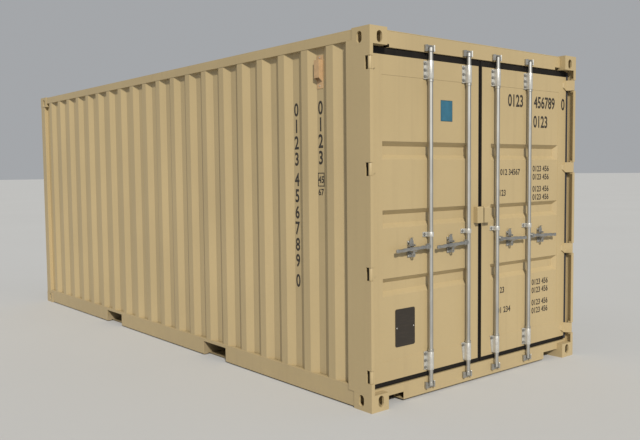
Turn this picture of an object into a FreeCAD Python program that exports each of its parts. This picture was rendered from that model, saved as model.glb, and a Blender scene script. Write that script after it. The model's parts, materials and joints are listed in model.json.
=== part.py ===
"""A 20 ft steel shipping container with two end doors and their locking gear.

Frame: X across the width (left side at -X), Y along the length (door end at -Y),
Z up, ground at Z = 0.  All sizes are in millimetres.

Positions near the door end are worked out as (u, q): u is the distance from the
left side plane, q is the distance behind the door-end plane of the corner fittings.
"""
import FreeCAD, Part
import math
import os

os.makedirs("parts", exist_ok=True)
V = FreeCAD.Vector

# ---------------------------------------------------------------- overall sizes
LENGTH, WIDTH, HEIGHT = 6058.0, 2438.0, 2591.0
HALF_L, HALF_W = LENGTH / 2, WIDTH / 2

# ---------------------------------------------------------------- clearances
MOVE_GAP = 5.0          # between a moving piece and anything it passes
PIN_GAP = 0.1           # radial, hinge pin in its knuckle
ROD_GAP = 0.8           # radial, locking bar in its bearings
SEAM_GAP = 10.0         # between the two doors' seals and lock box halves

# ---------------------------------------------------------------- corner fittings
FIT_L, FIT_W, FIT_H = 178.0, 162.0, 118.0
FIT_SKIN = 28.6         # thickness of the face that carries the long aperture
FIT_END, FIT_SIDE, FIT_IN = 19.0, 16.0, 11.0
SLOT_L, SLOT_W = 124.5, 63.5            # top and bottom apertures
PORT_H, PORT_W = 79.5, 51.0             # end and side apertures
SLOT_Q = (LENGTH - 5853.0) / 2          # aperture centre from the end plane
SLOT_P = (WIDTH - 2259.0) / 2           # aperture centre from the side plane
PORT_Z = 68.0                           # aperture centre above the long-aperture face

# ---------------------------------------------------------------- posts
POST_T = 6.0
DOOR_POST_Q = 235.0                     # depth of a door post's side plate
DOOR_POST_P = 46.0                      # how far a door post reaches inward
POST_LIP = 30.0                         # front flange of a door post
CHANNEL_Q, CHANNEL_T = 68.0, 10.0       # inner channel, from here to the back of the post
FRONT_POST_Q = 120.0                    # how far a front post reaches along the side
FRONT_POST_OUT = 2.0                    # how far its faces stand back from the fittings
FRONT_POST_FOLDS = ((96.0, 62.0), (62.0, 88.0))     # folds of its inner corner

# ---------------------------------------------------------------- rails and cross pieces
RAIL_P = 6.0                            # rails stand back from the side plane
TOP_RAIL, TOP_RAIL_T = 60.0, 3.0
TOP_RAIL_Z = 2512.0
BOT_RAIL_Z0, BOT_RAIL_Z1, BOT_RAIL_T = 10.0, 155.0, 4.5
BOT_LIP_LOW, BOT_LIP_TOP = 48.0, 34.0
END_Q = 52.0                            # front face of header and sill
END_DEPTH, END_T = 100.0, 4.0
HEAD_Z0, HEAD_Z1 = 2470.0, 2580.0
HEAD_STEP_U, HEAD_STEP_Z = 70.0, 22.0
SILL_Z0, SILL_Z1 = 15.0, 136.0
SILL_NOTCH_U, SILL_NOTCH_Z = 200.0, 70.0
FRONT_SILL_D = 60.0

# ---------------------------------------------------------------- sheet work
WALL_P = 9.0                            # outer faces of the side walls
WALL_T, WALL_DEEP = 1.6, 34.0
RIB_PITCH, RIB_COUNT = 281.0, 20        # ribs stand out from the wall
RIB_CREST, RIB_SLOPE = 72.0, 68.0
FRONT_T, FRONT_DEEP = 2.0, 45.6
FRONT_PITCH, FRONT_COUNT = 250.0, 8
FRONT_FLOOR, FRONT_SLOPE = 104.0, 18.0
ROOF_T, ROOF_TOP, ROOF_DEEP = 2.0, 2585.0, 18.0
ROOF_PITCH, ROOF_COUNT = 209.0, 27
ROOF_FLOOR, ROOF_SLOPE, ROOF_END = 91.0, 13.5, 90.0
PAN_END_SLOPE, ROOF_EDGE = 30.0, 8.0

# ---------------------------------------------------------------- floor
FLOOR_TOP, FLOOR_T = 162.0, 28.0
FLOOR_FRONT, FLOOR_SIDE = 70.0, 1.0     # gaps at the front wall and the side walls
BEAM_H, BEAM_FLANGE, BEAM_T, BEAM_PITCH = 122.0, 42.0, 4.5, 300.0
BEAM_END, BEAM_LIFT, BEAM_CLEAR = 260.0, 3.0, 6.0
FORK_Y, FORK_W, FORK_TOP, FORK_T = 1025.0, 358.0, 126.0, 6.0
STRAP_IN, STRAP_FAR = 60.0, 260.0       # strap plates, in from the tunnel mouths

# ---------------------------------------------------------------- doors
DOOR_U, DOOR_SEAM = 54.0, 22.0          # outer edge, and half the gap at the centre
DOOR_Z0, DOOR_Z1 = 172.0, 2421.0
DOOR_Q, DOOR_D = 60.0, 52.0             # outer face and thickness
TUBE_T = 3.2
STILE_OUT, STILE_IN = 112.0, 107.0
DOOR_RAIL_TOP, DOOR_RAIL_LOW = 135.0, 140.0
PANEL_BACK, PANEL_T = 2.0, 2.0
TROUGH_Z = (1838.0, 1366.0, 894.0)      # top edges of the pressed troughs
TROUGH_FLOOR, TROUGH_SLOPE, TROUGH_DEEP = 60.0, 33.0, 34.0
TROUGH_END, TROUGH_END_SLOPE = 4.0, 28.0     # from a stile to a trough, and its end's run
DRAIN_R, DRAIN_IN = 6.0, 60.0
SEAL_Q, SEAL_D = 63.0, 26.0

# ---------------------------------------------------------------- hinges
PIN_P, PIN_Q, PIN_R = 16.0, 16.0, 8.0
KNUCKLE_R = 14.0
BLADE_H, BLADE_T = 86.0, 10.0
BLADE_END, BLADE_TIP = 105.0, 34.0
BLADE_GAP, NOTCH_GAP = 1.0, 2.0         # blade to lugs, blade to notch edges
LUG_T = 14.0
HINGE_Z = (245.0, 946.0, 1648.0, 2349.0)
NOTCH_Q = 48.0                          # how far the notch runs along the post's side

# ---------------------------------------------------------------- locking gear
BAR_OFF = {"1": -596.0, "2": -175.0, "3": 175.0, "4": 596.0}     # from the centre line
BAR_U = {name: HALF_W + off for name, off in BAR_OFF.items()}
BAR_Q, BAR_R = 30.0, 17.0
BAR_Z0, BAR_Z1 = 74.0, 2502.0
CAM_R, CAM_H = 24.0, 26.0
LOBE_OUT = 40.0                         # how far a cam's lobe may reach
EAR_T, EAR_Q, EAR_TIP = 16.0, 20.0, 7.0
KEEPER_PAD, KEEPER_STRIP, KEEPER_D = 8.0, 12.0, 14.0
BEARING_Z = {"top": (2282.0, 2411.0), "low": (188.0, 322.0), "mid": (1160.0, 1194.0)}
SLEEVE_R, COLLAR_R, COLLAR_H = 22.0, 22.0, 12.0
FOOT_HALF, FOOT_T, FOOT_TAPER = 45.0, 6.0, 27.0
GUIDE_REACH = 56.0                      # how far a middle guide's tab reaches to the left
HANDLE_Z, HANDLE_LEN = 1092.0, 334.0
HANDLE_OFF = 38.0                       # pivot bolt from the bar's axis
HANDLE_Q, HANDLE_T, HANDLE_TALL = 8.0, 12.0, 26.0
HANDLE_DROP = 12.0                      # the grip end sits this much lower
EYE_R, BOLT_R = 18.0, 7.0
HOLD_AT = 147.0                         # retainer's distance from the pivot bolt
CATCH_Z, CATCH_Q, CATCH_H = 1108.0, 40.0, 56.0
CLEVIS_H, CLEVIS_T, CLEVIS_END = 40.0, 12.0, 16.0
NUT_R, NUT_H, HEAD_H = 11.0, 6.0, 5.0
HOLDER_HALF, HOLDER_LOW, HOLDER_TOP = 30.0, 62.0, 34.0
SHELF_HALF, SHELF_T, SHELF_GAP = 20.0, 6.0, 3.0
TAB_R, TAB_HOLE, TAB_DROP, TAB_HALF = 17.0, 6.0, 44.0, 12.0
WEB_T, EYE_PIN_R = 6.0, 3.0
LEAF_HALF, LEAF_WAIST, LEAF_TIP, LEAF_T = 23.0, 30.0, 5.0, 5.0
BARREL_R, LIP_OUT = 6.0, 10.0
BOX_HALF, BOX_T = 77.0, 4.0
BOX_Z0, BOX_Z1, BOX_OUT = 1229.0, 1353.0, 40.0

# ---------------------------------------------------------------- small fittings
PLATE_U, PLATE_Z, PLATE_W, PLATE_H = 387.5, 531.0, 197.0, 268.0
PLATE_T, PLATE_CORNER = 3.0, 14.0
VENT_W, VENT_T, VENT_Z0, VENT_Z1 = 70.0, 3.0, 2226.0, 2460.0
HOOD_W, HOOD_P, HOOD_Z0, HOOD_Z1, HOOD_LIP = 54.0, 6.0, 2273.0, 2427.0, 28.0


# ================================================================ helpers
def box(x0, x1, y0, y1, z0, z1):
    """A block between two opposite corners."""
    return Part.makeBox(x1 - x0, y1 - y0, z1 - z0, V(x0, y0, z0))


def end_box(u0, u1, q0, q1, z0, z1):
    """A block placed by (u, q) at the door end."""
    return box(u0 - HALF_W, u1 - HALF_W, q0 - HALF_L, q1 - HALF_L, z0, z1)


def at_end(u, q, z):
    """A point placed by (u, q) at the door end."""
    return V(u - HALF_W, q - HALF_L, z)


def prism(points, along):
    """A closed outline pushed along a vector."""
    wire = Part.makePolygon(points + [points[0]])
    return Part.Face(wire).extrude(along)


def plan(points, z0, z1):
    """An outline given as (u, q) pairs at the door end, standing from z0 to z1."""
    return prism([at_end(u, q, z0) for u, q in points], V(0, 0, z1 - z0))


def rod(base, radius, along):
    """A round bar from a point along a vector."""
    return Part.makeCylinder(radius, along.Length, base, along)


def tube(x0, x1, y0, y1, z0, z1, wall, open_axis):
    """A square tube open at both ends along one axis."""
    low, high = [x0, y0, z0], [x1, y1, z1]
    for i, name in enumerate("xyz"):
        if name == open_axis:
            low[i] -= 1.0
            high[i] += 1.0
        else:
            low[i] += wall
            high[i] -= wall
    return box(x0, x1, y0, y1, z0, z1).cut(box(low[0], high[0], low[1], high[1], low[2], high[2]))


def slot(centre, length, width, long_axis, normal, deep):
    """A round-ended slot cutter, centred on a point and running both ways along normal."""
    half = (length - width) / 2
    start = centre - normal * deep
    across = normal.cross(long_axis)
    corners = [start + long_axis * a + across * b for a, b in
               ((-half, -width / 2), (half, -width / 2), (half, width / 2), (-half, width / 2))]
    body = prism(corners, normal * (2 * deep))
    for a in (-half, half):
        body = body.fuse(rod(start + long_axis * a, width / 2, normal * (2 * deep)))
    return body.removeSplitter()


def frustum(x0, x1, y0, y1, z_open, z_floor, slope_x, slope_y):
    """A pressed pan: wide at z_open, narrower by the slopes at z_floor."""
    def ring(z, dx, dy):
        pts = [V(x0 + dx, y0 + dy, z), V(x1 - dx, y0 + dy, z),
               V(x1 - dx, y1 - dy, z), V(x0 + dx, y1 - dy, z)]
        return Part.makePolygon(pts + [pts[0]])
    return Part.makeLoft([ring(z_open, 0, 0), ring(z_floor, slope_x, slope_y)], True, True)


def mirror_x(shape):
    """The same piece on the other side of the container."""
    return shape.mirror(V(0, 0, 0), V(1, 0, 0))


def join(shapes):
    """One solid from touching pieces."""
    first = shapes[0]
    return first.fuse(shapes[1:]).removeSplitter() if len(shapes) > 1 else first


def corrugated(length, deep, sheet, count, pitch, floor, slope):
    """Outline of a corrugated sheet along +X from 0 to length; ribs go to +Y by deep."""
    first = length / 2 - pitch * (count - 1) / 2
    edge = [(0.0, 0.0)]
    for i in range(count):
        mid = first + i * pitch
        edge += [(mid - floor / 2 - slope, 0.0), (mid - floor / 2, deep - sheet),
                 (mid + floor / 2, deep - sheet), (mid + floor / 2 + slope, 0.0)]
    edge.append((length, 0.0))
    shift = sheet * math.tan(math.atan2(deep - sheet, slope) / 2)
    back = [(length, sheet)]
    for i in reversed(range(count)):
        mid = first + i * pitch
        back += [(mid + floor / 2 + slope + shift, sheet), (mid + floor / 2 + shift, deep),
                 (mid - floor / 2 - shift, deep), (mid - floor / 2 - slope - shift, sheet)]
    back.append((0.0, sheet))
    return edge + back


def export(shape, node):
    shape.exportStep("parts/%s.step" % node)


# ================================================================ frame of the container
def corner_fitting():
    """The bottom corner fitting at the left of the door end."""
    body = end_box(0, FIT_W, 0, FIT_L, 0, FIT_H)
    body = body.cut(end_box(FIT_SIDE, FIT_W - FIT_IN, FIT_END, FIT_L - FIT_IN,
                            FIT_SKIN, FIT_H - FIT_IN))
    centre = at_end(SLOT_P, SLOT_Q, 0)
    cutters = [slot(centre, SLOT_L, SLOT_W, V(0, 1, 0), V(0, 0, 1), FIT_SKIN + 5)]
    end_port = at_end(SLOT_P, 0, PORT_Z)
    cutters.append(slot(end_port, PORT_H, PORT_W, V(0, 0, 1), V(0, 1, 0), FIT_END + 5))
    side_port = at_end(0, SLOT_Q, PORT_Z)
    cutters.append(slot(side_port, PORT_H, PORT_W, V(0, 0, 1), V(1, 0, 0), FIT_SIDE + 5))
    return body.cut(cutters)


def fittings(top):
    """All four fittings at the top or at the bottom."""
    one = corner_fitting()
    if top:
        one = one.mirror(V(0, 0, HEIGHT / 2), V(0, 0, 1))
    pair = [one, mirror_x(one)]
    return Part.makeCompound(pair + [s.mirror(V(0, 0, 0), V(0, 1, 0)) for s in pair])


def door_post():
    """Left door post: folded outer plate, inner channel, hinge lugs and pins."""
    low, high = FIT_H, HEIGHT - FIT_H
    t = POST_T
    wall_in = WALL_P + WALL_DEEP
    plate = join([
        end_box(0, t, 0, FIT_L, low, high),
        end_box(0, t, FIT_L, DOOR_POST_Q, low, TOP_RAIL_Z),
        end_box(0, POST_LIP, 0, t, low, high),
        end_box(0, wall_in, DOOR_POST_Q - t, DOOR_POST_Q, low, TOP_RAIL_Z)])
    channel = end_box(t, DOOR_POST_P, CHANNEL_Q, DOOR_POST_Q - t, low, high).cut(
        end_box(t - 1, DOOR_POST_P - CHANNEL_T, CHANNEL_Q + t, DOOR_POST_Q, low - 1, high + 1))
    body = join([plate, channel])
    for z in HINGE_Z:
        half = BLADE_H / 2 + NOTCH_GAP
        body = body.cut(end_box(-1, POST_LIP + 1, -1, NOTCH_Q, z - half, z + half))
    lugs = []
    for z in HINGE_Z:
        half = BLADE_H / 2 + BLADE_GAP
        for z0 in (z - half - LUG_T, z + half):
            lugs.append(end_box(t - 1, POST_LIP - 1, t - 1, POST_LIP, z0, z0 + LUG_T))
        lugs.append(rod(at_end(PIN_P, PIN_Q, z - half - LUG_T), PIN_R,
                        V(0, 0, 2 * half + 2 * LUG_T)))
    return join([body] + lugs)


def front_post():
    """Left front post: a closed pressed section."""
    flat, deep = FRONT_POST_OUT, WALL_P + WALL_DEEP
    outline = [(flat, flat), (FIT_W, flat), (FIT_W, deep + POST_T / 2), *FRONT_POST_FOLDS,
               (deep, FRONT_POST_Q), (flat, FRONT_POST_Q)]
    corners = [V(u - HALF_W, HALF_L - q, FIT_H) for u, q in outline]
    face = Part.Face(Part.makePolygon(corners + [corners[0]]))
    return face.cut(face.makeOffset2D(-POST_T)).extrude(V(0, 0, HEIGHT - 2 * FIT_H))


def door_header():
    """Beam over the doors, with its lower edge stepped up beside the fittings."""
    x = HALF_W - FIT_W
    y = END_Q - HALF_L
    body = tube(-x, x, y, y + END_DEPTH, HEAD_Z0, HEAD_Z1, END_T, "x")
    for side in (-1, 1):
        x0, x1 = sorted((side * x, side * (x - HEAD_STEP_U)))
        body = body.cut(box(x0, x1, y - 1, y + END_DEPTH + 1, HEAD_Z0 - 1, HEAD_Z0 + HEAD_STEP_Z))
        body = body.fuse(box(x0, x1, y + END_T, y + END_DEPTH - END_T, HEAD_Z0 + HEAD_STEP_Z,
                             HEAD_Z0 + HEAD_STEP_Z + END_T))
    return body.removeSplitter()


def door_sill():
    """Beam under the doors, notched beside the fittings, with end blocks to the posts."""
    x = HALF_W - FIT_W
    y = END_Q - HALF_L
    body = tube(-x, x, y, y + END_DEPTH, SILL_Z0, SILL_Z1, END_T, "x")
    for side in (-1, 1):
        x0, x1 = sorted((side * x, side * (x - SILL_NOTCH_U)))
        body = body.cut(box(x0, x1, y - 1, y + END_DEPTH + 1, SILL_Z0 - 1, SILL_NOTCH_Z))
        body = body.fuse(box(x0, x1, y + END_T, y + END_DEPTH - END_T, SILL_NOTCH_Z,
                             SILL_NOTCH_Z + END_T))
        e0, e1 = sorted((side * x, side * (HALF_W - DOOR_POST_P)))
        body = body.fuse(box(e0, e1, y, y + END_DEPTH, FIT_H, SILL_Z1))
    return body.removeSplitter()


def front_header():
    """Tube across the top of the front end."""
    x = HALF_W - FIT_W
    y = HALF_L - RAIL_P
    return tube(-x, x, y - TOP_RAIL, y, TOP_RAIL_Z, TOP_RAIL_Z + TOP_RAIL, TOP_RAIL_T, "x")


def front_sill():
    """Channel across the front end, open towards the inside."""
    x = HALF_W - FIT_W
    y = HALF_L - RAIL_P
    body = box(-x, x, y - FRONT_SILL_D, y, BOT_RAIL_Z0, BOT_RAIL_Z1)
    return body.cut(box(-x - 1, x + 1, y - FRONT_SILL_D - 1, y - BOT_RAIL_T,
                        BOT_RAIL_Z0 + BOT_RAIL_T, BOT_RAIL_Z1 - BOT_RAIL_T))


def top_rail():
    """Left top rail: a square tube."""
    x = RAIL_P - HALF_W
    y = HALF_L - FIT_L
    return tube(x, x + TOP_RAIL, -y, y, TOP_RAIL_Z, TOP_RAIL_Z + TOP_RAIL, TOP_RAIL_T, "y")


def bottom_rail():
    """Left bottom rail: a channel open inwards, cut away at the fork pockets."""
    x = RAIL_P - HALF_W
    y = HALF_L - FIT_L
    z0, z1, t = BOT_RAIL_Z0, BOT_RAIL_Z1, BOT_RAIL_T
    stop = HALF_L - FRONT_POST_Q
    body = join([box(x, x + t, -y, stop, z0, z1), box(x, x + BOT_LIP_LOW, -y, stop, z0, z0 + t),
                 box(x, x + BOT_LIP_TOP, -y, stop, z1 - t, z1)])
    cutters = [box(x - 1, x + BOT_LIP_LOW + 1, side * FORK_Y - FORK_W / 2,
                   side * FORK_Y + FORK_W / 2, z0 - 1, FORK_TOP) for side in (-1, 1)]
    inner = x + BOT_LIP_LOW + 1
    cutters.append(box(x - 1, inner, -HALF_L, DOOR_POST_Q - HALF_L, FIT_H, z1 + 1))
    cutters += [box(x - 1, inner, -HALF_L, -y, 0, z1 + 1), box(x - 1, inner, y, HALF_L, 0, FIT_H)]
    return body.cut(cutters)


def side_wall():
    """Left wall: one corrugated sheet between the rails and the posts."""
    start, stop = DOOR_POST_Q - HALF_L, HALF_L - FRONT_POST_Q
    outline = corrugated(stop - start, WALL_DEEP, WALL_T, RIB_COUNT, RIB_PITCH,
                         RIB_CREST, RIB_SLOPE)
    x = WALL_P + WALL_DEEP - HALF_W
    pts = [V(x - b, start + a, BOT_RAIL_Z1) for a, b in outline]
    sheet = prism(pts, V(0, 0, TOP_RAIL_Z - BOT_RAIL_Z1))
    return sheet.cut(box(-HALF_W, -HALF_W + FIT_W, HALF_L - FIT_L, HALF_L,
                         HEIGHT - FIT_H, HEIGHT))


def front_wall():
    """Corrugated sheet across the front end."""
    x = HALF_W - FIT_W
    outline = corrugated(2 * x, FRONT_DEEP, FRONT_T, FRONT_COUNT, FRONT_PITCH,
                         FRONT_FLOOR, FRONT_SLOPE)
    y = HALF_L - WALL_P
    pts = [V(-x + a, y - b, BOT_RAIL_Z1) for a, b in outline]
    return prism(pts, V(0, 0, TOP_RAIL_Z - BOT_RAIL_Z1))


def roof_panel():
    """Roof sheet with pressed pans, a turned-down edge and cut-away corners."""
    edge, t = ROOF_EDGE, ROOF_T
    x, y = HALF_W - edge, HALF_L - edge
    y_door = HALF_L - END_Q
    rail_top = TOP_RAIL_Z + TOP_RAIL
    z0 = ROOF_TOP - t
    slab = box(-x, x, -y_door, y, rail_top, ROOF_TOP)
    slab = slab.cut(box(-x + t, x - t, -y_door + t, y - t, rail_top - 1, z0))
    slab = slab.cut(box(-HALF_W, HALF_W, -y_door - 1, -y_door + END_DEPTH, rail_top - 1, HEAD_Z1))
    slab = slab.cut([box(sx * HALF_W - FIT_W, sx * HALF_W + FIT_W, sy * HALF_L - FIT_L,
                         sy * HALF_L + FIT_L, rail_top - 1, ROOF_TOP + 1)
                     for sx in (-1, 1) for sy in (-1, 1)])
    first = -ROOF_PITCH * (ROOF_COUNT - 1) / 2
    half_x, half_y = HALF_W - ROOF_END, ROOF_FLOOR / 2 + ROOF_SLOPE
    shells, voids = [], []
    for i in range(ROOF_COUNT):
        mid = first + i * ROOF_PITCH
        shells.append(frustum(-half_x - t, half_x + t, mid - half_y - t, mid + half_y + t,
                              ROOF_TOP - 0.5, ROOF_TOP - ROOF_DEEP - t, PAN_END_SLOPE,
                              ROOF_SLOPE))
        voids.append(frustum(-half_x, half_x, mid - half_y, mid + half_y,
                             ROOF_TOP + 0.5, ROOF_TOP - ROOF_DEEP, PAN_END_SLOPE, ROOF_SLOPE))
    return slab.fuse(shells).cut(voids).removeSplitter()


# ================================================================ floor
def floor_boards():
    """Plywood floor, notched round the four posts."""
    x = HALF_W - WALL_P - WALL_DEEP - FLOOR_SIDE
    boards = box(-x, x, -HALF_L + END_Q + END_DEPTH, HALF_L - FLOOR_FRONT,
                 FLOOR_TOP - FLOOR_T, FLOOR_TOP)
    wide, thin = FRONT_POST_FOLDS[0][0] + 1, FRONT_POST_FOLDS[1][0] + 1
    notches = [end_box(0, DOOR_POST_P + 1, 0, DOOR_POST_Q + 1, 0, HEIGHT),
               box(-HALF_W, thin - HALF_W, HALF_L - FRONT_POST_Q - 1, HALF_L, 0, HEIGHT),
               box(-HALF_W, wide - HALF_W, HALF_L - wide, HALF_L, 0, HEIGHT)]
    return boards.cut(notches + [mirror_x(n) for n in notches])


def cross_members():
    """Pressed channels across the underside, missing where the fork pockets run."""
    x = HALF_W - RAIL_P - BOT_RAIL_T
    z1 = FLOOR_TOP - FLOOR_T
    z0 = z1 - BEAM_H + BEAM_LIFT
    beams = []
    count = int((LENGTH - 2 * BEAM_END) // BEAM_PITCH) + 1
    for i in range(count):
        y = (i - (count - 1) / 2) * BEAM_PITCH
        if abs(abs(y) - FORK_Y) < FORK_W / 2 + BEAM_FLANGE + BEAM_CLEAR:
            continue
        beams.append(join([box(-x, x, y, y + BEAM_T, z0, z1),
                           box(-x, x, y, y + BEAM_FLANGE, z1 - BEAM_T, z1),
                           box(-x + BOT_LIP_LOW, x - BOT_LIP_LOW, y, y + BEAM_FLANGE,
                               z0, z0 + BEAM_T)]))
    return Part.makeCompound(beams)


def fork_pockets():
    """Two tunnels across the base for fork tines, with strap plates near the rails."""
    x = HALF_W - RAIL_P - BOT_RAIL_T
    z0, z1 = BOT_RAIL_Z0 + BOT_RAIL_T + 0.5, FLOOR_TOP - FLOOR_T
    out = []
    for side in (-1, 1):
        y0, y1 = side * FORK_Y - FORK_W / 2, side * FORK_Y + FORK_W / 2
        t = FORK_T
        pieces = [box(-x, x, y0 - t, y0, z0, z1), box(-x, x, y1, y1 + t, z0, z1),
                  box(-x, x, y0, y1, FORK_TOP, FORK_TOP + t)]
        for sx in (-1, 1):
            a, b = sorted((sx * (x - STRAP_IN), sx * (x - STRAP_FAR)))
            pieces.append(box(a, b, y0 - t, y1 + t, z0 - t, z0))
        out.append(join(pieces))
    return Part.makeCompound(out)


# ================================================================ doors (left door first)
def door_span():
    """The left door's outer and inner edges, as u."""
    return DOOR_U, HALF_W - DOOR_SEAM


def hinge_blade(z):
    """A forged blade from the pin to the door's outer face."""
    front = PIN_Q - KNUCKLE_R + 1
    t = BLADE_T
    strap = [(PIN_P, front), (PIN_P + 16, front), (DOOR_U + 6, DOOR_Q - t), (BLADE_END - 8, DOOR_Q - t),
             (BLADE_END, DOOR_Q), (DOOR_U, DOOR_Q), (DOOR_U - 8, DOOR_Q - 8),
             (PIN_P + 9, front + t), (PIN_P, front + t)]
    z0 = z - BLADE_H / 2
    body = plan(strap, z0, z0 + BLADE_H)
    body = body.fuse(rod(at_end(PIN_P, PIN_Q, z0), KNUCKLE_R, V(0, 0, BLADE_H)))
    body = body.cut(rod(at_end(PIN_P, PIN_Q, z0 - 1), PIN_R + PIN_GAP, V(0, 0, BLADE_H + 2)))
    for s in (-1, 1):
        pts = [at_end(DOOR_U + 8, DOOR_Q - t - 1, z + s * BLADE_H / 2),
               at_end(BLADE_END + 1, DOOR_Q - t - 1, z + s * BLADE_H / 2),
               at_end(BLADE_END + 1, DOOR_Q - t - 1, z + s * BLADE_TIP / 2)]
        body = body.cut(prism(pts, V(0, t + 3, 0)))
    return body.removeSplitter()


def door_frame():
    """Hollow frame of a door with its four hinge blades."""
    u0, u1 = door_span()
    q0, q1 = DOOR_Q, DOOR_Q + DOOR_D
    inner = (u0 + STILE_OUT, u1 - STILE_IN, DOOR_Z0 + DOOR_RAIL_LOW, DOOR_Z1 - DOOR_RAIL_TOP)
    t = TUBE_T
    body = end_box(u0, u1, q0, q1, DOOR_Z0, DOOR_Z1)
    body = body.cut(end_box(inner[0], inner[1], q0 - 1, q1 + 1, inner[2], inner[3]))
    hollow = end_box(u0 + t, u1 - t, q0 + t, q1 - t, DOOR_Z0 + t, DOOR_Z1 - t)
    hollow = hollow.cut(end_box(inner[0] - t, inner[1] + t, q0, q1, inner[2] - t, inner[3] + t))
    body = body.cut(hollow)
    drains = [rod(at_end(u, (q0 + q1) / 2, DOOR_Z0 - 1), DRAIN_R, V(0, 0, t + 2))
              for u in (u0 + DRAIN_IN, u1 - DRAIN_IN)]
    body = body.cut(drains)
    return join([body] + [hinge_blade(z) for z in HINGE_Z])


def door_panel():
    """Door sheet with three pressed troughs."""
    u0, u1 = door_span()
    u0, u1 = u0 + STILE_OUT, u1 - STILE_IN
    z0, z1 = DOOR_Z0 + DOOR_RAIL_LOW, DOOR_Z1 - DOOR_RAIL_TOP
    q, t = DOOR_Q + PANEL_BACK, PANEL_T
    sheet = end_box(u0, u1, q, q + t, z0, z1)
    shells, voids = [], []
    tall = TROUGH_FLOOR + 2 * TROUGH_SLOPE
    turn = FreeCAD.Rotation(V(1, 0, 0), 90)
    for top in TROUGH_Z:
        x0, x1 = u0 + TROUGH_END - HALF_W, u1 - TROUGH_END - HALF_W
        shell = frustum(x0 - t, x1 + t, top - tall - t, top + t, -0.5, -TROUGH_DEEP - t,
                        TROUGH_END_SLOPE, TROUGH_SLOPE)
        void = frustum(x0, x1, top - tall, top, 0.5, -TROUGH_DEEP, TROUGH_END_SLOPE,
                       TROUGH_SLOPE)
        for piece, bag in ((shell, shells), (void, voids)):
            piece.Placement = FreeCAD.Placement(V(0, q - HALF_L, 0), turn)
            bag.append(piece)
    return sheet.fuse(shells).cut(voids).removeSplitter()


def door_seal():
    """Rubber seal round a door's edge."""
    u0, u1 = door_span()
    a0, a1 = DOOR_POST_P + MOVE_GAP, HALF_W - SEAM_GAP / 2
    b0, b1 = SILL_Z1 + MOVE_GAP, HEAD_Z0 - MOVE_GAP
    ring = end_box(a0, a1, SEAL_Q, SEAL_Q + SEAL_D, b0, b1)
    return ring.cut(end_box(u0, u1, SEAL_Q - 1, SEAL_Q + SEAL_D + 1, DOOR_Z0, DOOR_Z1))


def sleeve(u, z0, z1, fixing):
    """A sleeve round a bar, on a cheek that joins it to its fixing on the door."""
    cheek = end_box(u - SLEEVE_R, u + SLEEVE_R, BAR_Q, DOOR_Q, z0, z1)
    body = join([fixing, cheek, rod(at_end(u, BAR_Q, z0), SLEEVE_R, V(0, 0, z1 - z0))])
    return body.cut(rod(at_end(u, BAR_Q, z0 - 1), BAR_R + ROD_GAP, V(0, 0, z1 - z0 + 2)))


def bearing(u, z0, z1, low_half):
    """A bearing on a foot plate, which narrows to low_half each way at its lower end."""
    q = DOOR_Q - FOOT_T
    foot = prism([at_end(u - FOOT_HALF, q, z1), at_end(u + FOOT_HALF, q, z1),
                  at_end(u + low_half, q, z0), at_end(u - low_half, q, z0)], V(0, FOOT_T, 0))
    return sleeve(u, z0, z1, foot)


def guide(u, z0, z1, back):
    """A short guide at mid height, held by one tab."""
    return sleeve(u, z0, z1, end_box(u - GUIDE_REACH, u, DOOR_Q - FOOT_T, back, z0, z1))


def bar_brackets(bars):
    """Bearings and guides for the two bars of one door."""
    out = []
    for name in bars:
        u = BAR_U[name]
        inner = name in ("2", "3")
        back = DOOR_Q if name == "3" else DOOR_Q + PANEL_BACK
        out += [bearing(u, *BEARING_Z["top"], FOOT_HALF),
                bearing(u, *BEARING_Z["low"], FOOT_TAPER if inner else FOOT_HALF),
                guide(u, *BEARING_Z["mid"], back)]
    return Part.makeCompound(out)


def handle_retainer(u, z):
    """Shelf that carries a handle, with a seal tab below and hinge ears for the catch."""
    low, top = z - TAB_DROP, z - HANDLE_TALL / 2 - SHELF_GAP
    front = HANDLE_Q + SHELF_GAP - 1
    tab_q = HANDLE_Q + HANDLE_T + 2
    foot = end_box(u - HOLDER_HALF, u + HOLDER_HALF, DOOR_Q - FOOT_T, DOOR_Q + PANEL_BACK,
                   z - HOLDER_LOW, CATCH_Z + HOLDER_TOP)
    shelf = end_box(u - SHELF_HALF, u + SHELF_HALF, front, DOOR_Q, top - SHELF_T, top)
    tab = join([rod(at_end(u, tab_q, low), TAB_R, V(0, WEB_T, 0)),
                end_box(u - TAB_HALF, u + TAB_HALF, tab_q, tab_q + WEB_T, low, top)])
    tab = tab.cut(rod(at_end(u, tab_q - 1, low), TAB_HOLE, V(0, WEB_T + 2, 0)))
    web = end_box(u - WEB_T / 2, u + WEB_T / 2, tab_q + WEB_T, DOOR_Q, low, top)
    ears = [end_box(a, a + WEB_T, CATCH_Q - BARREL_R - 1, DOOR_Q,
                    CATCH_Z - BARREL_R - 1, CATCH_Z + BARREL_R + 1)
            for a in (u - HOLDER_HALF, u + HOLDER_HALF - WEB_T)]
    body = join([foot, shelf, tab, web] + ears)
    return body.cut(rod(at_end(u - HOLDER_HALF - 1, CATCH_Q, CATCH_Z), EYE_PIN_R + PIN_GAP,
                        V(2 * HOLDER_HALF + 2, 0, 0)))


def handle_point(name):
    """u of a handle's pivot bolt, and which way the handle points."""
    side = -1 if name in ("1", "2") else 1
    return BAR_U[name] + side * HANDLE_OFF, side


def retainers(bars):
    """Handle retainers of one door."""
    out = []
    for name in bars:
        u, side = handle_point(name)
        drop = HANDLE_DROP * HOLD_AT / HANDLE_LEN
        out.append(handle_retainer(u + side * HOLD_AT, HANDLE_Z - drop))
    return Part.makeCompound(out)


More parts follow.
